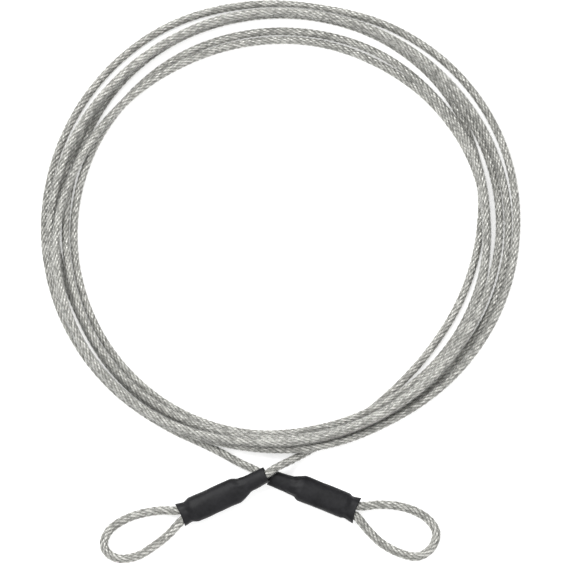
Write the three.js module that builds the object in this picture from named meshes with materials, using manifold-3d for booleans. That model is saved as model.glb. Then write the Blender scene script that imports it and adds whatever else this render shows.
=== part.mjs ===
// Looped security cable, coiled for storage: a galvanised wire rope in a clear vinyl jacket, with an
// eye at each end. Each eye is held by an oval aluminium ferrule under a black heat-shrink sleeve.
// Millimetres, +Z up. The cable lies flat on z = 0, and the origin is under the middle of the whole
// object: +Y is its long way, from the eyes to the far side of the coil.
import * as THREE from 'three';
import { mergeVertices } from 'three/addons/utils/BufferGeometryUtils.js';
import Module from 'manifold-3d';

const wasm = await Module();
wasm.setup();

// Cable
const CABLE_D = 5.0;
const ROPE_D = 3.7;
const JACKET_BORE_D = 4.4;
const JACKET_SIDES = 10;
const ROPE_SIDES = 8;
const TUBE_STEP = 10;
const GAP = 0.3;
const WELD_DISTANCE = 1e-4;

// Coil of cable: the outer shape of the whole bundle, an oval ring that is thinner towards the ends
const COIL_HEIGHT = 18;
const COIL_EDGE = 3;
const COIL_EDGE_STEPS = 3;
const COIL_SEGMENTS = 48;
const COIL_OUTER = { x: 0, y: 29.4, rx: 129.8, ry: 122.6 };
const COIL_INNER = { x: -0.8, y: 24.3, rx: 107.2, ry: 104.0 };

// Heat-shrink sleeve: distance from the mouth (on the eye's side) and half width of its outside
const SLEEVE_LENGTH = 50.8;
const SLEEVE_WALL = 0.5;
const SLEEVE_OUTSIDE = [
  [0, 6.6],
  [4.5, 5.9],
  [7.2, 6.75],
  [32.4, 6.8],
  [37.6, 4.6],
  [SLEEVE_LENGTH, 4.3],
];
const SLEEVE_SEGMENTS = 36;
const FERRULE_FLATNESS = 0.72; // height over width around the ferrule
const NARROW_FLATNESS = 0.84; // the same around the single cable

// Ferrule: an oval body with a bore for each leg of the rope
const FERRULE_START = 8.2;
const FERRULE_LENGTH = 24.4;
const FERRULE_HALF_WIDTH = 5.5;
const FERRULE_HALF_HEIGHT = 3.9;
const FERRULE_BORE_D = 4.4;
const FERRULE_SEGMENTS = 12;
const LEG_OFFSET = 2.65; // from the sleeve's axis to each leg inside the ferrule
const MOUTH_LEG_OFFSET = 2.85; // the same at the sleeve's mouth
const LIVE_LEG_STEPS = 7;
const LIVE_LEG_END_OFFSET = 1.1; // where the live leg has come back towards the axis
const TAIL_START_OFFSET = 0.6;
const LIVE_LEG_END = 35.7;
const TAIL_START = 36.9;

// The two ends. The mouth and the tip are the sleeve's ends; liveSide is +1 where the leg that goes on
// to the coil lies to the left of the way from mouth to tip. The cable leaves the tip tipOffset away
// from the sleeve's axis, towards that side. Routes are centreline points of the cable.
const ENDS = [
  {
    name: 'left',
    mouth: [-54.2, -125.9, 4.7],
    tip: [-8.3, -104.8, 11.2],
    liveSide: 1,
    tipOffset: 0.8,
    eye: [
      [-65.3, -123.4, 3.6],
      [-76.7, -125.4, 2.7],
      [-86.1, -129.2, 2.5],
      [-92.9, -134.5, 2.5],
      [-95.6, -141.6, 2.5],
      [-92.6, -147.1, 2.5],
      [-86.0, -149.5, 2.5],
      [-76.7, -147.6, 2.5],
      [-68.6, -142.6, 2.7],
      [-61.0, -136.6, 3.4],
    ],
    tail: [
      [-3.4, -100.6, 10.7],
      [4.5, -96.8, 8.0],
      [11.9, -92.9, 4.9],
      [20.5, -89.8, 3.1],
    ],
  },
  {
    name: 'right',
    mouth: [41.4, -123.7, 4.95],
    tip: [-4.6, -105.2, 4.95],
    liveSide: -1,
    tipOffset: -0.5,
    eye: [
      [52.4, -120.3, 4.2],
      [62.6, -120.9, 3.2],
      [72.3, -123.7, 2.6],
      [79.9, -128.6, 2.5],
      [83.8, -135.5, 2.5],
      [81.4, -143.4, 2.5],
      [74.0, -148.2, 2.5],
      [64.2, -146.4, 2.5],
      [54.2, -141.0, 2.8],
      [46.6, -133.6, 3.8],
    ],
    tail: [
      [-14.0, -101.4, 4.0],
      [-23.2, -97.2, 2.9],
      [-33.0, -91.9, 2.6],
      [-42.1, -87.4, 2.6],
    ],
  },
];

const wireRope = new THREE.MeshStandardMaterial({ color: 0xa9a9a3, roughness: 0.4, metalness: 0.8 });
const clearVinyl = new THREE.MeshStandardMaterial({ color: 0xd8d8d4, roughness: 0.25, metalness: 0 });
const blackShrink = new THREE.MeshStandardMaterial({ color: 0x2e2e30, roughness: 0.75, metalness: 0 });
const aluminium = new THREE.MeshStandardMaterial({ color: 0xb4b6b8, roughness: 0.45, metalness: 0.9 });

const lock = new THREE.Group();

function addMesh(parent, name, geometry, material) {
  const mesh = new THREE.Mesh(geometry, material);
  mesh.name = name;
  parent.add(mesh);
  return mesh;
}

function regularOutline(diameter, sides) {
  const corners = [];
  for (let i = 0; i < sides; i += 1) {
    const turn = (i / sides) * 2 * Math.PI;
    corners.push(new THREE.Vector2(Math.cos(turn), Math.sin(turn)).multiplyScalar(diameter / 2));
  }
  return corners;
}

function tubeAlong(curve, steps, diameter, sides, boreDiameter = 0) {
  const section = new THREE.Shape(regularOutline(diameter, sides));
  if (boreDiameter > 0) {
    section.holes.push(new THREE.Path(regularOutline(boreDiameter, sides)));
  }
  return new THREE.ExtrudeGeometry(section, { steps, extrudePath: curve, bevelEnabled: false });
}

function tubeSteps(curve) {
  return Math.max(2, Math.round(curve.getLength() / TUBE_STEP));
}

// The ring's outline grows by margin on every side, so that a neighbour can be cut back from it.
function coilRing(margin) {
  const edge = COIL_EDGE;
  const outline = new THREE.Shape();
  outline.absellipse(
    COIL_OUTER.x, COIL_OUTER.y, COIL_OUTER.rx + margin, COIL_OUTER.ry + margin, 0, 2 * Math.PI,
  );
  const middle = new THREE.Path();
  middle.absellipse(
    COIL_INNER.x, COIL_INNER.y, COIL_INNER.rx - margin, COIL_INNER.ry - margin, 0, 2 * Math.PI,
  );
  outline.holes.push(middle);
  const ring = new THREE.ExtrudeGeometry(outline, {
    depth: COIL_HEIGHT + 2 * margin - 2 * edge,
    curveSegments: COIL_SEGMENTS,
    bevelThickness: edge,
    bevelSize: edge,
    bevelOffset: -edge,
    bevelSegments: COIL_EDGE_STEPS,
  });
  ring.translate(0, 0, edge - margin);
  return ring;
}

function toSolid(geometry) {
  const bare = geometry.clone();
  bare.deleteAttribute('normal');
  bare.deleteAttribute('uv');
  const merged = mergeVertices(bare, WELD_DISTANCE);
  return new wasm.Manifold(new wasm.Mesh({
    numProp: 3,
    vertProperties: new Float32Array(merged.attributes.position.array),
    triVerts: new Uint32Array(merged.index.array),
  }));
}

function fromSolid(solid) {
  const mesh = solid.getMesh();
  const geometry = new THREE.BufferGeometry();
  geometry.setAttribute('position', new THREE.BufferAttribute(new Float32Array(mesh.vertProperties), 3));
  geometry.setIndex(new THREE.BufferAttribute(new Uint32Array(mesh.triVerts), 1));
  geometry.computeVertexNormals();
  return geometry;
}

const coilKeepOut = toSolid(coilRing(GAP));

function cutBackFromCoil(geometry) {
  return fromSolid(toSolid(geometry).subtract(coilKeepOut));
}

function smoothStep(low, high, value) {
  return THREE.MathUtils.smoothstep(value, low, high);
}

// A closed turned shell around its own X axis, pressed flatter where it covers the ferrule.
function shrinkSleeve() {
  const outside = SLEEVE_OUTSIDE.map(([along, half]) => new THREE.Vector2(half, along));
  const inside = SLEEVE_OUTSIDE.map(([along, half]) => new THREE.Vector2(half - SLEEVE_WALL, along));
  const profile = [...outside, ...inside.reverse(), outside[0]];
  const shell = new THREE.LatheGeometry(profile, SLEEVE_SEGMENTS);
  shell.rotateZ(-Math.PI / 2);
  const position = shell.attributes.position;
  const shoulderStart = SLEEVE_OUTSIDE[3][0];
  const shoulderEnd = SLEEVE_OUTSIDE[4][0];
  for (let i = 0; i < position.count; i += 1) {
    const pastFerrule = smoothStep(shoulderStart, shoulderEnd, position.getX(i));
    const flatness = THREE.MathUtils.lerp(FERRULE_FLATNESS, NARROW_FLATNESS, pastFerrule);
    position.setZ(i, position.getZ(i) * flatness);
  }
  return shell;
}

// An oval bar along X with the two bores of the legs.
function ferruleBody() {
  const outline = new THREE.Shape();
  outline.absellipse(0, 0, FERRULE_HALF_WIDTH, FERRULE_HALF_HEIGHT, 0, 2 * Math.PI);
  for (const side of [-1, 1]) {
    const bore = new THREE.Path();
    bore.absarc(side * LEG_OFFSET, 0, FERRULE_BORE_D / 2, 0, 2 * Math.PI, true);
    outline.holes.push(bore);
  }
  const body = new THREE.ExtrudeGeometry(outline, {
    depth: FERRULE_LENGTH,
    curveSegments: FERRULE_SEGMENTS,
    bevelEnabled: false,
  });
  body.translate(0, 0, FERRULE_START);
  body.rotateX(Math.PI / 2);
  body.rotateZ(Math.PI / 2);
  return body;
}

function straightPath(points) {
  const path = new THREE.CurvePath();
  for (let i = 1; i < points.length; i += 1) {
    path.add(new THREE.LineCurve3(points[i - 1], points[i]));
  }
  return path;
}

function addEnd(end) {
  const mouth = new THREE.Vector3(...end.mouth);
  const tip = new THREE.Vector3(...end.tip);
  const along = tip.clone().sub(mouth).normalize();
  const across = new THREE.Vector3(0, 0, 1).cross(along).normalize();
  const up = along.clone().cross(across);

  // The sleeve, the ferrule and the two bare legs share the sleeve's own frame: X runs from its mouth.
  const fitting = new THREE.Group();
  fitting.position.copy(mouth);
  fitting.quaternion.setFromRotationMatrix(new THREE.Matrix4().makeBasis(along, across, up));
  lock.add(fitting);
  addMesh(fitting, `${end.name}_shrink_sleeve`, shrinkSleeve(), blackShrink);
  addMesh(fitting, `${end.name}_ferrule`, ferruleBody(), aluminium);

  const liveY = end.liveSide * LEG_OFFSET;
  const legStart = FERRULE_START;
  const legEnd = FERRULE_START + FERRULE_LENGTH;
  const livePath = straightPath([
    new THREE.Vector3(legStart, liveY, 0),
    new THREE.Vector3(legEnd, liveY, 0),
    new THREE.Vector3(LIVE_LEG_END, end.liveSide * LIVE_LEG_END_OFFSET, 0),
  ]);
  const liveLeg = tubeAlong(livePath, LIVE_LEG_STEPS, ROPE_D, ROPE_SIDES);
  addMesh(fitting, `${end.name}_live_leg_rope`, liveLeg, wireRope);
  const deadPath = straightPath([
    new THREE.Vector3(legStart, -liveY, 0),
    new THREE.Vector3(legEnd, -liveY, 0),
  ]);
  const deadLeg = tubeAlong(deadPath, 1, ROPE_D, ROPE_SIDES);
  addMesh(fitting, `${end.name}_dead_leg_rope`, deadLeg, wireRope);

  function onSleeve(distance, offset) {
    return mouth.clone().addScaledVector(along, distance).addScaledVector(across, end.liveSide * offset);
  }

  // The eye and the tail are a rope and a jacket along the same route.
  const eyeRoute = new THREE.CatmullRomCurve3([
    onSleeve(FERRULE_START - GAP, LEG_OFFSET),
    onSleeve(0, MOUTH_LEG_OFFSET),
    ...end.eye.map((point) => new THREE.Vector3(...point)),
    onSleeve(0, -MOUTH_LEG_OFFSET),
    onSleeve(FERRULE_START - GAP, -LEG_OFFSET),
  ]);
  const eyeSteps = tubeSteps(eyeRoute);
  addMesh(lock, `${end.name}_eye_rope`, tubeAlong(eyeRoute, eyeSteps, ROPE_D, ROPE_SIDES), wireRope);
  addMesh(
    lock,
    `${end.name}_eye_jacket`,
    tubeAlong(eyeRoute, eyeSteps, CABLE_D, JACKET_SIDES, JACKET_BORE_D),
    clearVinyl,
  );

  const tailRoute = new THREE.CatmullRomCurve3([
    onSleeve(TAIL_START, TAIL_START_OFFSET),
    onSleeve(SLEEVE_LENGTH, end.tipOffset),
    ...end.tail.map((point) => new THREE.Vector3(...point)),
  ]);
  const tailSteps = tubeSteps(tailRoute);
  const tailRope = tubeAlong(tailRoute, tailSteps, ROPE_D, ROPE_SIDES);
  const tailJacket = tubeAlong(tailRoute, tailSteps, CABLE_D, JACKET_SIDES, JACKET_BORE_D);
  addMesh(lock, `${end.name}_tail_rope`, cutBackFromCoil(tailRope), wireRope);
  addMesh(lock, `${end.name}_tail_jacket`, cutBackFromCoil(tailJacket), clearVinyl);
}

addMesh(lock, 'coiled_cable', coilRing(0), wireRope);
ENDS.forEach(addEnd);

export default lock;
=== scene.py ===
"""Looped security cable, coiled for storage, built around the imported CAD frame.

A galvanised wire rope of six strands in a clear vinyl jacket runs from one heat-shrink sleeve, nearly
six times round a flat coil, to the other sleeve. At each end it turns back in an eye, and a ferrule
under the sleeve holds the two legs of the eye together.

Lengths in this script are millimetres, and MM turns them into Blender's metres at the end of each
calculation. The camera looks straight down: +X is to its right and +Y is up in its picture.
"""
import math

import bpy
import numpy as np
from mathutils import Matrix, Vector, noise


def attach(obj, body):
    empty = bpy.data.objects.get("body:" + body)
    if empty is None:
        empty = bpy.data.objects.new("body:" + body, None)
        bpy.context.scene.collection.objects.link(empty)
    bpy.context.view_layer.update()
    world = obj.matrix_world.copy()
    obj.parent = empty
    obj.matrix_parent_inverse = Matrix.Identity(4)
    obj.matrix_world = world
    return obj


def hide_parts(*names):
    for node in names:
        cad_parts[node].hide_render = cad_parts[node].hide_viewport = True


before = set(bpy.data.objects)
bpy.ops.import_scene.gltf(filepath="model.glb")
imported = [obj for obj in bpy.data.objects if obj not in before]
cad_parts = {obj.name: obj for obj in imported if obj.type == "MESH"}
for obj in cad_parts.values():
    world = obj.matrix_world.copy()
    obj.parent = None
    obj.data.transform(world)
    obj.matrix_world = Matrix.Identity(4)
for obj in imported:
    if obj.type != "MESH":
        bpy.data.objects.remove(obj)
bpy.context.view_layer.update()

MM = 0.001
BODY = "root"

# Cable
CABLE_D = 5.0
ROPE_D = 4.3  # drawn nearly as wide as the jacket, as the round clear vinyl magnifies the rope in it
EYE_ROPE_D = 4.7  # the same in the eyes, where it seems to fill the jacket
STRANDS = 6
STRANDS_ACROSS = 3  # the rope's width in strands, as its six lie round a core of the same size
LAY = 20.8  # along the rope, one whole turn of its strands
WIRES_ACROSS = 3  # wires seen side by side on each strand
GLINT_STRETCH = 6.0  # along the rope, about how far one wire's painted glint or painted shade lasts
POINTS_PER_STRAND = 4
JACKET_SIDES = 18
GROOVE_FILL = 0.25  # how far the grooves between the strands are filled, from 0 to 1
CABLE_STEP = 1.25  # between the rings of the main cable
EYE_STEP = 0.7  # between the rings of an eye
CURVE_STEP = 0.1  # between the points that a curve's length is measured from

# Coil
COIL_CENTRE = (0.0, 27.5)
FIRST_ANGLE = 280.0  # where the cable enters the coil, in degrees round from +X
LEAD_IN_RADIUS = 134.0  # how far out the cable still is one place before that
SAMPLES_PER_TURN = 180
TAIL_OUT_ANGLE = 244.0  # where the last turn leaves the coil for the right sleeve

# Each turn's distance from the coil's centre, every 20 degrees from FIRST_ANGLE, one turn to a row.
TURN_RADII = [
    [117.5, 106.8, 103.0, 104.0, 107.5, 112.4, 116.0, 117.1, 116.8,
     116.8, 117.6, 117.7, 116.5, 116.3, 116.5, 116.5, 115.0, 113.0],
    [112.0, 112.0, 112.0, 112.5, 111.0, 112.0, 110.0, 109.3, 108.0,
     107.8, 108.6, 109.4, 110.8, 111.8, 112.3, 112.4, 111.9, 110.6],
    [108.5, 108.5, 109.8, 110.9, 111.3, 109.7, 107.0, 104.3, 103.3,
     103.1, 104.8, 109.1, 115.0, 121.0, 123.0, 123.0, 120.0, 115.5],
    [113.5, 113.0, 114.0, 115.8, 118.0, 118.6, 118.0, 119.0, 118.4,
     118.6, 119.0, 120.2, 120.5, 122.0, 118.0, 117.8, 117.0, 116.0],
    [115.5, 116.0, 117.5, 120.8, 122.7, 122.5, 121.0, 119.6, 118.2,
     118.6, 119.0, 120.6, 123.0, 124.5, 124.0, 122.8, 120.6, 118.2],
    [118.0, 118.2, 121.5, 124.8, 127.0, 128.4, 127.6, 125.1, 122.1,
     123.4, 126.1, 127.2, 127.6, 127.6, 126.6, 124.6, 122.2, 122.8],
]
# Which turn lies on which at the same places, from the lowest to the highest.
STACKING = (
    "135264", "135264", "135264", "135264", "132456", "132645", "132645", "132645", "123645",
    "123645", "123645", "123645", "126453", "264153", "264153", "264153", "264153", "264153",
)
SETTLE_ROUNDS = 400
SETTLE_DROP = 0.05  # how far each turn sinks in a round, before the turns under it lift it again
RELAX_TIMES = 6  # how often the heights are smoothed in a round
LAST_RELAX_TIMES = 4  # the same after the last round
RELAX_SHARE = 0.5  # how far each height moves towards the mean of its two neighbours

# Sleeves, tails and eyes: the same points as in the CAD part, but the left tail is one point shorter,
# because the coil's turns start there.
LEG_OFFSET = 2.65  # from the sleeve's middle to each leg of the eye, where the leg's jacket ends
MOUTH_LEG_OFFSET = 2.85  # the same at the mouth
EYE_START = 7.9  # how far inside the mouth the eye's jacket ends
TAIL_START = 36.9  # how far inside the mouth the tail's jacket starts
TAIL_START_OFFSET = 0.6  # how far it is there from the sleeve's middle
SLEEVE_LENGTH = 50.8  # from the mouth to the tip, where the cable comes out
ENDS = {
    "left": {
        "mouth": (-54.2, -125.9, 4.7),
        "tip": (-8.3, -104.8, 11.2),
        "live_side": 1,
        "tip_offset": 0.8,
        "eye": [
            (-65.3, -123.4, 3.6), (-76.7, -125.4, 2.7), (-86.1, -129.2, 2.5), (-92.9, -134.5, 2.5),
            (-95.6, -141.6, 2.5), (-92.6, -147.1, 2.5), (-86.0, -149.5, 2.5), (-76.7, -147.6, 2.5),
            (-68.6, -142.6, 2.7), (-61.0, -136.6, 3.4),
        ],
        "tail": [(-3.4, -100.6, 10.7), (4.5, -96.8, 8.0), (11.9, -92.9, 4.9)],
    },
    "right": {
        "mouth": (41.4, -123.7, 4.95),
        "tip": (-4.6, -105.2, 4.95),
        "live_side": -1,
        "tip_offset": -0.5,
        "eye": [
            (52.4, -120.3, 4.2), (62.6, -120.9, 3.2), (72.3, -123.7, 2.6), (79.9, -128.6, 2.5),
            (83.8, -135.5, 2.5), (81.4, -143.4, 2.5), (74.0, -148.2, 2.5), (64.2, -146.4, 2.5),
            (54.2, -141.0, 2.8), (46.6, -133.6, 3.8),
        ],
        "tail": [(-14.0, -101.4, 4.0), (-23.2, -97.2, 2.9), (-33.0, -91.9, 2.6), (-42.1, -87.4, 2.6)],
    },
}

# Outside of each sleeve: distance from the mouth, half width on the coil's side, half width on the
# other side, half height. The mouth flares, the ferrule fills the long part, and the single cable
# leaves by the narrow one.
SLEEVE_OUTSIDE = {
    "left": [
        (0.0, 6.75, 6.5, 4.2), (4.6, 5.75, 5.8, 3.85), (7.4, 6.75, 7.3, 4.6), (33.0, 6.8, 7.4, 4.6),
        (36.2, 5.2, 6.35, 3.9), (40.3, 4.85, 4.4, 3.5), (50.8, 4.9, 3.7, 3.4),
    ],
    "right": [
        (0.0, 7.4, 7.2, 4.2), (5.3, 6.35, 6.15, 3.85), (7.2, 7.45, 6.9, 4.6), (32.9, 7.3, 6.9, 4.6),
        (35.2, 6.1, 5.25, 4.0), (39.2, 4.4, 5.1, 3.6), (50.8, 3.7, 5.1, 3.4),
    ],
}
CORNER_ROUNDING = 0.5  # how far along the sleeve each corner of its outline is blended
SLEEVE_WALL = 0.3
SLEEVE_AROUND = 72
SLEEVE_STEP = 0.45
SLEEVE_END = {"left": 51.7, "right": 50.8}  # the left one reaches a little further over its cable
MOUTH_DIP = 0.8  # how far the mouth's cut is hollowed between its corners
MOUTH_SLANT = {"left": -0.1, "right": 0.35}  # half of how far back the cut is on the coil's side
SQUARENESS = 0.05  # how far the oval stands out at its four corners, as a share of its size
WRINKLE_SEED = {"left": 7.3, "right": 19.2}

# Skin of the sleeves: dents all over, and creases at two necks
DENT_DEPTH = 0.22
DENTS_AROUND = 1.6  # how fast the dents change round the sleeve
DENTS_ALONG = 0.16  # and along it, for each millimetre
FINE_DENT_DEPTH = 0.07
FINE_DENT_SCALE = 3.1  # how much faster the fine ones change
CREASE_DEPTH = 0.16
CREASES_AROUND = 9
CREASE_WANDER = 8.0  # how far the creases stray from straight, in radians of their own waves
CREASE_WANDER_ALONG = 0.12
CREASE_NOISE_LAYER = 3.0  # keeps their noise apart from that of the dents
FLAT_SIDE_SHARE = 0.5  # depth of dents and creases on the flat sides, as a share of the narrow ones
NECKS = [  # distance from the mouth, length and strength of the creases
    (5.0, 2.6, 1.0),
    (37.0, 3.2, 1.3),
]

# Camera and stage
CAMERA_PLACE = (0.3, 0.2, 12000.0)
FRAME_WIDTH = 304.0  # what the camera sees from side to side
SENSOR = 36.0
FLOOR_SIZE = 6000.0
FLOOR_GLOW = 0.55  # keeps the plain floor near white
WORLD_STRENGTH = 0.66
LIGHT_SIZE = 1000.0
KEY_PLACE = (-550.0, 650.0, 1500.0)
KEY_WATTS = 24.0
FILL_PLACE = (700.0, -900.0, 1300.0)
FILL_WATTS = 5.0

# Colours
WHITE = (1.0, 1.0, 1.0)
WARMTH = 0.01  # how much less blue than red a warm grey has
DARK_ZINC = (0.46, 0.46, 0.445)
BRIGHT_ZINC = (0.88, 0.875, 0.85)
DULL_WIRE = (0.90, 0.90, 0.88)
CLEAN_WIRE = (1.0, 1.0, 0.98)
CLEAR_MIDDLE = (0.99, 0.99, 0.99)
CLEAR_EDGE = (0.96, 0.96, 0.955)
MILKY = (0.92, 0.92, 0.91)
BLACK_SKIN = (0.004, 0.004, 0.005)
WORN_SKIN = (0.012, 0.012, 0.014)
DARK_ALUMINIUM = (0.45, 0.46, 0.47)
BRIGHT_ALUMINIUM = (0.72, 0.73, 0.74)
BRIGHT_BARE_WIRE = (0.66, 0.66, 0.63)
FLOOR_GREYS = ((0.78, 0.78, 0.78), (0.80, 0.80, 0.80))


# ---------------------------------------------------------------- camera

def make_camera():
    data = bpy.data.cameras.new("camera")
    data.sensor_width = SENSOR
    data.lens = SENSOR * CAMERA_PLACE[2] / FRAME_WIDTH
    data.dof.use_dof = False
    camera = bpy.data.objects.new("camera", data)
    camera.location = Vector(CAMERA_PLACE) * MM
    bpy.context.scene.collection.objects.link(camera)
    bpy.context.scene.camera = camera


# ---------------------------------------------------------------- curves and sweeps

def catmull_rom(values, places):
    """values (one row a point) on the smooth curve through them, at fractional places in the list."""
    last = len(values) - 1
    start = np.clip(np.floor(places).astype(int), 0, last)
    share = places - start
    if values.ndim > 1:
        share = share[:, None]

    def at(index):
        return values[np.clip(index, 0, last)]

    before, here, after, beyond = at(start - 1), at(start), at(start + 1), at(start + 2)
    slope = after - before
    bend = 2 * before - 5 * here + 4 * after - beyond
    cubic = 3 * (here - after) + beyond - before
    return here + 0.5 * share * (slope + share * (bend + share * cubic))


def distances_along(path):
    """How far along the path each of its points is."""
    return np.concatenate([[0], np.cumsum(np.linalg.norm(np.diff(path, axis=0), axis=1))])


def smooth_path(points, step):
    """Evenly spaced points, about step apart, on the smooth curve through the given ones."""
    points = np.array(points, dtype=float)
    chords = np.linalg.norm(np.diff(points, axis=0), axis=1)
    fine_places = [
        index + np.linspace(0, 1, int(chord / CURVE_STEP), endpoint=False)
        for index, chord in enumerate(chords)
    ]
    places = np.append(np.concatenate(fine_places), len(points) - 1.0)
    fine = catmull_rom(points, places)
    travelled = distances_along(fine)
    count = int(round(travelled[-1] / step))
    wanted = np.linspace(0, travelled[-1], count + 1)
    return np.stack([np.interp(wanted, travelled, fine[:, axis]) for axis in range(3)], axis=1)


def path_frames(path):
    """At each point of a path that is never upright: a level vector across it and one square to both."""
    tangent = np.gradient(path, axis=0)
    tangent /= np.linalg.norm(tangent, axis=1)[:, None]
    side = np.cross(tangent, np.array([0.0, 0.0, 1.0]))
    side /= np.linalg.norm(side, axis=1)[:, None]
    upward = np.cross(side, tangent)
    return side, upward


def add_mesh(name, corners, faces):
    """A smooth mesh object, from corners in millimetres."""
    mesh = bpy.data.meshes.new(name)
    mesh.from_pydata((np.array(corners) * MM).tolist(), [], faces)
    mesh.polygons.foreach_set("use_smooth", [True] * len(mesh.polygons))
    mesh.update()
    piece = bpy.data.objects.new(name, mesh)
    bpy.context.scene.collection.objects.link(piece)
    return piece


def map_tube(mesh, travelled, around, u_turns):
    """A tube's UV map: U goes from 0 to u_turns once round it, and V is millimetres along it."""
    shape = (len(travelled) - 1, around)
    sides = np.arange(around)[None, :]
    u_low = np.broadcast_to(sides / around, shape)
    u_high = np.broadcast_to((sides + 1) / around, shape)
    v_low = np.broadcast_to(travelled[:-1, None], shape)
    v_high = np.broadcast_to(travelled[1:, None], shape)
    corner_u = np.stack([u_low, u_high, u_high, u_low], axis=-1).reshape(-1) * u_turns
    corner_v = np.stack([v_low, v_low, v_high, v_high], axis=-1).reshape(-1)
    uv = np.zeros((len(mesh.loops), 2))  # the corners of the two caps come last and stay at zero
    uv[:len(corner_u), 0] = corner_u
    uv[:len(corner_v), 1] = corner_v
    mesh.uv_layers.new(name="UVMap").data.foreach_set("uv", uv.reshape(-1))


def make_tube(name, path, radii, angles, twist, u_turns=1.0):
    """A capped tube: radii and angles go once round its section, and twist turns each of its rings."""
    rings, around = len(path), len(angles)
    side, upward = path_frames(path)
    turned = (angles[None, :] + twist[:, None])[:, :, None]
    outward = np.cos(turned) * side[:, None, :] + np.sin(turned) * upward[:, None, :]
    corners = path[:, None, :] + radii[None, :, None] * outward
    ring = np.arange(rings - 1)[:, None] * around
    here = np.arange(around)[None, :]
    there = (here + 1) % around
    quads = np.stack([ring + here, ring + there, ring + around + there, ring + around + here], axis=-1)
    first_cap = list(range(around))[::-1]
    last_cap = [(rings - 1) * around + index for index in range(around)]
    faces = [*quads.reshape(-1, 4).tolist(), first_cap, last_cap]
    tube = add_mesh(name, corners.reshape(-1, 3), faces)
    map_tube(tube.data, distances_along(path), around, u_turns)
    return tube


def rope_section(diameter):
    """Radius and angle of each point round a rope of round strands, from groove to groove."""
    strand_radius = diameter / 2 / STRANDS_ACROSS
    circle_radius = diameter / 2 - strand_radius
    per_strand = np.arange(POINTS_PER_STRAND) / POINTS_PER_STRAND - 0.5
    off_centre = per_strand * 2 * math.pi / STRANDS
    inside_root = strand_radius**2 - (circle_radius * np.sin(off_centre)) ** 2
    bulge = circle_radius * np.cos(off_centre) + np.sqrt(np.maximum(inside_root, 0))
    bulge += GROOVE_FILL * (diameter / 2 - bulge)
    centres = np.arange(STRANDS)[:, None] * 2 * math.pi / STRANDS
    return np.tile(bulge, STRANDS), (centres + off_centre[None, :]).reshape(-1)


def make_rope(name, path, diameter):
    radii, angles = rope_section(diameter)
    twist = -2 * math.pi * distances_along(path) / LAY
    return make_tube(name, path, radii, angles, twist, u_turns=STRANDS)


def make_jacket(name, path):
    angles = np.arange(JACKET_SIDES) * 2 * math.pi / JACKET_SIDES
    radii = np.full(JACKET_SIDES, CABLE_D / 2)
    return make_tube(name, path, radii, angles, np.zeros(len(path)))


# ---------------------------------------------------------------- the coil's turns

def stacking_ranks():
    """For each turn, one row: its place from the bottom of the stack at each sample round the coil."""
    stations = len(STACKING)
    nearest = np.round(np.arange(SAMPLES_PER_TURN) / SAMPLES_PER_TURN * stations).astype(int)
    ranks = np.zeros((len(TURN_RADII), stations))
    for station, word in enumerate(STACKING):
        for level, turn in enumerate(word):
            ranks[int(turn) - 1, station] = level
    return ranks[:, np.minimum(nearest, stations - 1)]


def lift_clear(heights, radii, order):
    """Raises each turn until it clears every turn that lies lower in the stack."""
    columns = np.arange(SAMPLES_PER_TURN)
    for level in range(1, len(order)):
        upper = order[level]
        for below in range(level):
            lower = order[below]
            apart = radii[upper, columns] - radii[lower, columns]
            needed = np.sqrt(np.maximum(CABLE_D**2 - apart**2, 0))
            lack = needed - (heights[upper, columns] - heights[lower, columns])
            heights[upper, columns] += np.maximum(lack, 0) * (np.abs(apart) < CABLE_D)
    return heights


def relax(heights, times):
    """Smooths the heights along the whole cable, from the first turn to the last."""
    flat = heights.reshape(-1).copy()
    for _ in range(times):
        flat[1:-1] += RELAX_SHARE * ((flat[:-2] + flat[2:]) / 2 - flat[1:-1])
    return flat.reshape(heights.shape)


def settle(radii):
    """Heights of the cable's middle: each turn sinks until it rests on the floor or on other turns."""
    order = np.argsort(stacking_ranks(), axis=0)
    floor = CABLE_D / 2
    heights = np.full(radii.shape, floor)
    for _ in range(SETTLE_ROUNDS):
        heights = np.maximum(heights - SETTLE_DROP, floor)
        heights = relax(lift_clear(heights, radii, order), RELAX_TIMES)
    heights = relax(lift_clear(np.maximum(heights, floor), radii, order), LAST_RELAX_TIMES)
    return np.maximum(heights, floor)


def coil_points():
    """Points of the cable round the coil, one turn after the other, from the left end to the right."""
    stations = len(TURN_RADII[0])
    turns = len(TURN_RADII)
    flat_radii = np.array(TURN_RADII).reshape(-1)
    places = np.arange(turns * SAMPLES_PER_TURN) / SAMPLES_PER_TURN * stations
    with_lead_in = np.concatenate([[LEAD_IN_RADIUS], flat_radii])
    radii = catmull_rom(with_lead_in, places + 1).reshape(turns, SAMPLES_PER_TURN)
    heights = settle(radii)
    angles = np.radians(FIRST_ANGLE + np.arange(turns * SAMPLES_PER_TURN) * 360 / SAMPLES_PER_TURN)
    radii = radii.reshape(-1)
    x = COIL_CENTRE[0] + radii * np.cos(angles)
    y = COIL_CENTRE[1] + radii * np.sin(angles)
    points = np.stack([x, y, heights.reshape(-1)], axis=1)
    last_turn = (TAIL_OUT_ANGLE - FIRST_ANGLE) % 360 / 360
    return points[: int((turns - 1 + last_turn) * SAMPLES_PER_TURN) + 1]


# ---------------------------------------------------------------- ends

def end_frame(end):
    """Mouth point and the sleeve's own directions: along from mouth to tip, towards the coil, and up."""
    mouth = np.array(end["mouth"])
    along = np.array(end["tip"]) - mouth
    along /= np.linalg.norm(along)
    across = np.cross([0.0, 0.0, 1.0], along)
    across /= np.linalg.norm(across)
    upward = np.cross(along, across)
    return mouth, along, across * end["live_side"], upward


def on_sleeve(end, distance, offset):
    mouth, along, coilward, _ = end_frame(end)
    return mouth + distance * along + offset * coilward


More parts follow.
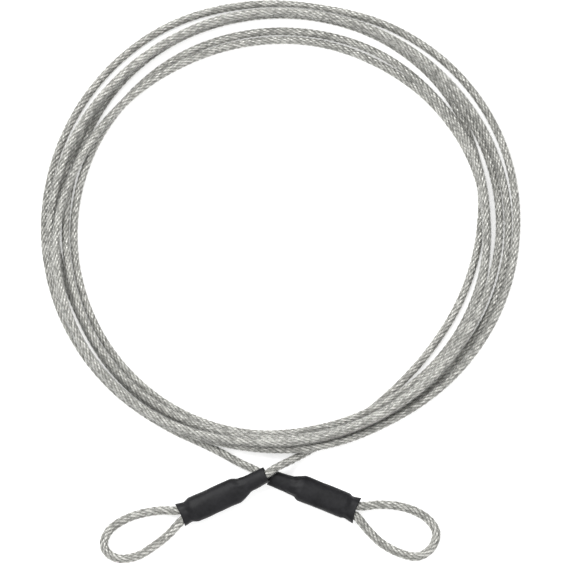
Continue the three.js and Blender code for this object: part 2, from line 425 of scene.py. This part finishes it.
def eye_points(end):
    return [
        on_sleeve(end, EYE_START, LEG_OFFSET),
        on_sleeve(end, 0, MOUTH_LEG_OFFSET),
        *end["eye"],
        on_sleeve(end, 0, -MOUTH_LEG_OFFSET),
        on_sleeve(end, EYE_START, -LEG_OFFSET),
    ]


def tail_points(end):
    return [
        on_sleeve(end, TAIL_START, TAIL_START_OFFSET),
        on_sleeve(end, SLEEVE_LENGTH, end["tip_offset"]),
        *end["tail"],
    ]


def sleeve_profile(side, distance):
    """Half width on either side and half height, straight between the outline's rounded corners."""
    rows = np.array(SLEEVE_OUTSIDE[side])
    blended = distance + np.array([-CORNER_ROUNDING, 0.0, CORNER_ROUNDING])
    return [np.interp(blended, rows[:, 0], rows[:, column]).mean() for column in (1, 2, 3)]


def wrinkle(distance, turn, seed):
    """How far the shrunk skin stands out or in at a place: soft dents, and creases at its two necks."""
    place = Vector((
        math.cos(turn) * DENTS_AROUND,
        math.sin(turn) * DENTS_AROUND,
        distance * DENTS_ALONG + seed,
    ))
    dents = DENT_DEPTH * noise.noise(place)
    fine_dents = FINE_DENT_DEPTH * noise.noise(place * FINE_DENT_SCALE)
    near_neck = sum(
        strength * math.exp(-((distance - neck) / length) ** 2)
        for neck, length, strength in NECKS
    )
    wander = CREASE_WANDER * noise.noise(
        Vector((distance * CREASE_WANDER_ALONG, seed, CREASE_NOISE_LAYER))
    )
    creases = CREASE_DEPTH * near_neck * math.sin(CREASES_AROUND * turn + wander + seed)
    return dents + fine_dents + creases


def sleeve_rings(side, share):
    """Outer and inner ring of the shell, at a share of the way from its mouth's cut to its far end."""
    mouth, along, coilward, upward = end_frame(ENDS[side])
    outer_ring, inner_ring = [], []
    for turn in np.arange(SLEEVE_AROUND) * 2 * math.pi / SLEEVE_AROUND:
        cut = MOUTH_DIP * math.sin(turn) ** 2 + MOUTH_SLANT[side] * (1 + math.cos(turn))
        distance = cut + share * (SLEEVE_END[side] - cut)
        coilward_half, other_half, half_height = sleeve_profile(side, distance)
        half_width = coilward_half if math.cos(turn) > 0 else other_half
        squared = 1 + SQUARENESS * math.sin(2 * turn) ** 2
        out = wrinkle(distance, turn, WRINKLE_SEED[side])
        across_by = (half_width + out) * math.cos(turn) * squared
        up_by = (half_height + FLAT_SIDE_SHARE * out) * math.sin(turn) * squared
        from_middle = across_by * coilward + up_by * upward
        middle = mouth + distance * along
        outer_ring.append(middle + from_middle)
        inner_ring.append(middle + (1 - SLEEVE_WALL / half_width) * from_middle)
    return outer_ring, inner_ring


def make_sleeve(name, side):
    """A thin shell shrunk over the ferrule and the two legs, open at both ends."""
    length = SLEEVE_END[side]
    shares = np.arange(0, length + SLEEVE_STEP / 2, SLEEVE_STEP) / length
    outside, inside = zip(*(sleeve_rings(side, share) for share in shares))
    rings = [*outside, *inside[::-1]]
    faces = []
    for ring in range(len(rings)):
        row = ring * SLEEVE_AROUND
        next_row = (ring + 1) % len(rings) * SLEEVE_AROUND
        for here in range(SLEEVE_AROUND):
            there = (here + 1) % SLEEVE_AROUND
            quad = [row + here, row + there, next_row + there, next_row + here]
            faces.append(quad if ENDS[side]["live_side"] > 0 else quad[::-1])
    return add_mesh(name, np.array(rings).reshape(-1, 3), faces)


# ---------------------------------------------------------------- materials

def warm_grey(level):
    return (level, level, level - WARMTH)


class Nodes:
    """A short way to write a material's nodes."""

    def __init__(self, name):
        self.material = bpy.data.materials.new(name)
        self.material.use_nodes = True
        self.tree = self.material.node_tree
        self.tree.nodes.clear()
        self.output = self.tree.nodes.new("ShaderNodeOutputMaterial")

    def add(self, kind, inputs=None, **settings):
        node = self.tree.nodes.new("ShaderNode" + kind)
        for key, value in settings.items():
            setattr(node, key, value)
        for key, value in (inputs or {}).items():
            self.feed(node.inputs[key], value)
        return node

    def feed(self, socket, value):
        if isinstance(value, bpy.types.NodeSocket):
            self.tree.links.new(value, socket)
        else:
            socket.default_value = value

    def on_object(self):
        """The place on the object, in metres."""
        return self.add("TexCoord").outputs["Object"]

    def math(self, operation, first, second=0.0):
        node = self.add("Math", {0: first, 1: second}, operation=operation)
        return node.outputs[0]

    def ramp(self, value, stops):
        node = self.add("ValToRGB", {"Fac": value})
        elements = node.color_ramp.elements
        while len(elements) < len(stops):
            elements.new(0.5)
        for element, (place, colour) in zip(elements, stops):
            element.position = place
            element.color = (*colour, 1.0)
        return node.outputs["Color"]

    def spread(self, value, low, high, from_low=0.0, from_high=1.0):
        """value, taken from from_low .. from_high to low .. high."""
        inputs = {
            "Value": value,
            "From Min": from_low,
            "From Max": from_high,
            "To Min": low,
            "To Max": high,
        }
        return self.add("MapRange", inputs).outputs["Result"]

    def noise(self, vector, scale, detail=3.0, roughness=0.5):
        inputs = {"Vector": vector, "Scale": scale, "Detail": detail, "Roughness": roughness}
        return self.add("TexNoise", inputs).outputs["Fac"]

    def mix_colour(self, factor, first, second, blend="MIX"):
        inputs = {0: factor, 6: first, 7: second}
        return self.add("Mix", inputs, data_type="RGBA", blend_type=blend).outputs[2]

    def bump(self, height, distance, strength, normal=None):
        inputs = {"Height": height, "Distance": distance, "Strength": strength}
        if normal is not None:
            inputs["Normal"] = normal
        return self.add("Bump", inputs).outputs["Normal"]

    def principled(self, inputs):
        return self.add("BsdfPrincipled", inputs).outputs["BSDF"]

    def finish(self, shader):
        self.tree.links.new(shader, self.output.inputs["Surface"])
        return self.material


def wire_rope_material():
    """Galvanised strands: U counts the strands and V is millimetres along, as make_rope leaves them."""
    nodes = Nodes("wire_rope")
    uv = nodes.add("UVMap", uv_map="UVMap").outputs["UV"]
    parts = nodes.add("SeparateXYZ", {"Vector": uv})
    u, v = parts.outputs["X"], parts.outputs["Y"]
    across_strand = nodes.math("FRACT", u)
    off_middle = nodes.math("ABSOLUTE", nodes.math("SUBTRACT", across_strand, 0.5))
    # Wires cross each strand nearly in line with the rope itself.
    along_wires = nodes.math("MULTIPLY", v, WIRES_ACROSS * STRANDS / LAY)
    wires = nodes.math("SUBTRACT", nodes.math("MULTIPLY", u, float(WIRES_ACROSS)), along_wires)
    wire_wave = nodes.math("ABSOLUTE", nodes.math("SINE", nodes.math("MULTIPLY", wires, math.pi)))
    # Painted glints and painted shade: each wire is painted bright for a stretch and dark for another, as
    # if it caught the light and then turned away from it.
    wire_number = nodes.math("FLOOR", wires)
    stretch = nodes.math("MULTIPLY", v, 1 / GLINT_STRETCH)
    strand = nodes.math("FLOOR", u)
    wire_place = nodes.add("CombineXYZ", {"X": wire_number, "Y": stretch, "Z": strand}).outputs["Vector"]
    glint = nodes.noise(wire_place, scale=1.7, detail=0.0)
    place = nodes.on_object()
    spangle = nodes.noise(place, scale=900.0, detail=4.0, roughness=0.65)
    drift = nodes.noise(place, scale=60.0, detail=2.0)
    # Painted shade: the rope's colour darkens towards the grooves between its strands, where shade falls.
    groove = nodes.ramp(off_middle, [
        (0.0, WHITE),
        (0.26, warm_grey(0.90)),
        (0.40, warm_grey(0.66)),
        (0.5, warm_grey(0.36)),
    ])
    # Painted shade: thin dark lines in the crevices between the wires.
    wire_gap_shade = nodes.ramp(wire_wave, [(0.0, warm_grey(0.22)), (0.5, warm_grey(0.90)), (1.0, WHITE)])
    # Painted glints: the brightest wires stand for highlights, the darkest for shade.
    painted_wire_glint = nodes.ramp(glint, [(0.36, warm_grey(0.40)), (0.5, warm_grey(0.76)), (0.62, WHITE)])
    metal = nodes.ramp(spangle, [(0.3, DARK_ZINC), (0.7, BRIGHT_ZINC)])
    tint = nodes.ramp(drift, [(0.35, DULL_WIRE), (0.65, CLEAN_WIRE)])
    # The zinc colour is multiplied by painted shade in the grooves and between the wires, by painted
    # glints, and by the wires' own dull or clean tint.
    toned = metal
    for factor, layer in ((1.0, groove), (0.85, wire_gap_shade), (0.9, painted_wire_glint), (1.0, tint)):
        toned = nodes.mix_colour(factor, toned, layer, "MULTIPLY")
    return nodes.finish(nodes.principled({
        "Base Color": toned,
        "Roughness": nodes.spread(spangle, 0.36, 0.56),
        "Normal": nodes.bump(wire_wave, distance=0.10 * MM, strength=0.9),
        "Metallic": 0.5,
    }))


def clear_vinyl_material():
    """A thin clear skin: glossy, and milky at its edges, where one looks through more of it."""
    nodes = Nodes("clear_vinyl")
    ripple = nodes.noise(nodes.on_object(), scale=220.0)
    facing = nodes.add("LayerWeight", {"Blend": 0.5}).outputs["Facing"]
    edge = nodes.math("POWER", facing, 2.0)
    skin = nodes.principled({
        "Base Color": (*MILKY, 1.0),
        "Roughness": nodes.spread(ripple, 0.08, 0.20),
        "IOR": 1.5,
        "Normal": nodes.bump(ripple, distance=0.15 * MM, strength=0.6),
    })
    tint = nodes.ramp(edge, [(0.0, CLEAR_MIDDLE), (1.0, CLEAR_EDGE)])
    clear = nodes.add("BsdfTransparent", {"Color": tint}).outputs["BSDF"]
    cover = nodes.spread(edge, 0.04, 0.42, from_low=0.3, from_high=0.7)
    mix = nodes.add("MixShader", {0: cover, 1: clear, 2: skin})
    return nodes.finish(mix.outputs["Shader"])


def heat_shrink_material():
    """Matt black polyolefin with a fine mottled skin and a little dust."""
    nodes = Nodes("heat_shrink")
    place = nodes.on_object()
    grain = nodes.noise(place, scale=1400.0, detail=4.0, roughness=0.6)
    mottle = nodes.noise(place, scale=450.0, detail=4.0, roughness=0.6)
    patches = nodes.noise(place, scale=120.0)
    worn = nodes.mix_colour(0.5, patches, mottle)
    uneven = nodes.bump(patches, distance=0.25 * MM, strength=0.5)
    return nodes.finish(nodes.principled({
        "Base Color": nodes.ramp(worn, [(0.35, BLACK_SKIN), (0.62, WORN_SKIN)]),
        "Roughness": nodes.spread(patches, 0.42, 0.62),
        "Specular IOR Level": 0.24,
        "Normal": nodes.bump(grain, distance=0.04 * MM, strength=0.7, normal=uneven),
    }))


def aluminium_material():
    """Crimped ferrule: dull aluminium with tool marks."""
    nodes = Nodes("crimped_aluminium")
    marks = nodes.noise(nodes.on_object(), scale=300.0, detail=5.0, roughness=0.6)
    return nodes.finish(nodes.principled({
        "Base Color": nodes.ramp(marks, [(0.3, DARK_ALUMINIUM), (0.7, BRIGHT_ALUMINIUM)]),
        "Roughness": nodes.spread(marks, 0.35, 0.6),
        "Normal": nodes.bump(marks, distance=0.08 * MM, strength=0.6),
        "Metallic": 0.9,
    }))


def bare_rope_material():
    """The legs inside the ferrule, where the CAD bars have no map: bands round the bar stand for wires."""
    nodes = Nodes("bare_wire_rope")
    wave = {"Vector": nodes.on_object(), "Scale": 260.0, "Distortion": 1.5}
    bands = nodes.add("TexWave", wave).outputs["Fac"]
    return nodes.finish(nodes.principled({
        "Base Color": nodes.ramp(bands, [(0.2, warm_grey(0.20)), (0.7, BRIGHT_BARE_WIRE)]),
        "Roughness": 0.4,
        "Normal": nodes.bump(bands, distance=0.15 * MM, strength=0.8),
        "Metallic": 0.8,
    }))


def floor_material():
    nodes = Nodes("floor")
    cloud = nodes.noise(nodes.on_object(), scale=3.0)
    return nodes.finish(nodes.principled({
        "Base Color": nodes.ramp(cloud, list(zip((0.3, 0.7), FLOOR_GREYS))),
        "Roughness": 0.9,
        "Emission Color": (*WHITE, 1.0),
        "Emission Strength": FLOOR_GLOW,
    }))


def set_material(piece, material):
    piece.data.materials.clear()
    piece.data.materials.append(material)


# ---------------------------------------------------------------- pieces

def add_cable(name, path, rope_diameter, jacket_nodes, rope_nodes, finishes):
    """A stretch of cable, as a jacket and the rope in it, in place of the CAD nodes that are named."""
    jacket = make_jacket(f"{name}_jacket", path)
    rope = make_rope(f"{name}_rope", path, rope_diameter)
    for piece, slot, nodes in ((jacket, "jacket", jacket_nodes), (rope, "wire_rope", rope_nodes)):
        set_material(piece, finishes[slot])
        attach(piece, BODY)
        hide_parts(*nodes)


def add_main_cable(finishes):
    points = [*tail_points(ENDS["left"]), *coil_points(), *tail_points(ENDS["right"])[::-1]]
    add_cable(
        "main_cable",
        smooth_path(points, CABLE_STEP),
        ROPE_D,
        ["left_tail_jacket", "right_tail_jacket"],
        ["coiled_cable", "left_tail_rope", "right_tail_rope"],
        finishes,
    )


def add_eye(side, finishes):
    add_cable(
        f"{side}_eye_cable",
        smooth_path(eye_points(ENDS[side]), EYE_STEP),
        EYE_ROPE_D,
        [f"{side}_eye_jacket"],
        [f"{side}_eye_rope"],
        finishes,
    )


def add_sleeve(side, finish):
    sleeve = make_sleeve(f"{side}_heat_shrink", side)
    set_material(sleeve, finish)
    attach(sleeve, BODY)
    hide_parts(f"{side}_shrink_sleeve")


def dress_hidden_metal(side, aluminium, bare_rope):
    set_material(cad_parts[f"{side}_ferrule"], aluminium)
    for leg in ("live", "dead"):
        set_material(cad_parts[f"{side}_{leg}_leg_rope"], bare_rope)


# ---------------------------------------------------------------- stage

def add_floor():
    half = FLOOR_SIZE / 2
    corners = [(-half, -half, 0), (half, -half, 0), (half, half, 0), (-half, half, 0)]
    floor = add_mesh("floor", corners, [(0, 1, 2, 3)])
    set_material(floor, floor_material())


def add_light(name, place, watts):
    data = bpy.data.lights.new(name, "AREA")
    data.shape = "DISK"
    data.size = LIGHT_SIZE * MM
    data.energy = watts
    light = bpy.data.objects.new(name, data)
    light.location = Vector(place) * MM
    light.rotation_euler = Vector(place).to_track_quat("Z", "Y").to_euler()
    bpy.context.scene.collection.objects.link(light)


def add_lights():
    add_light("key", KEY_PLACE, KEY_WATTS)
    add_light("fill", FILL_PLACE, FILL_WATTS)
    world = bpy.data.worlds.new("studio")
    world.use_nodes = True
    background = world.node_tree.nodes["Background"]
    background.inputs["Color"].default_value = (*WHITE, 1.0)
    background.inputs["Strength"].default_value = WORLD_STRENGTH
    bpy.context.scene.world = world


# ---------------------------------------------------------------- scene

bpy.context.scene.view_settings.view_transform = "Standard"
make_camera()
cable_finishes = {"jacket": clear_vinyl_material(), "wire_rope": wire_rope_material()}
add_main_cable(cable_finishes)
for end_name in ENDS:
    add_eye(end_name, cable_finishes)
heat_shrink = heat_shrink_material()
aluminium_finish = aluminium_material()
bare_rope_finish = bare_rope_material()
for end_name in ENDS:
    add_sleeve(end_name, heat_shrink)
    dress_hidden_metal(end_name, aluminium_finish, bare_rope_finish)
add_floor()
add_lights()
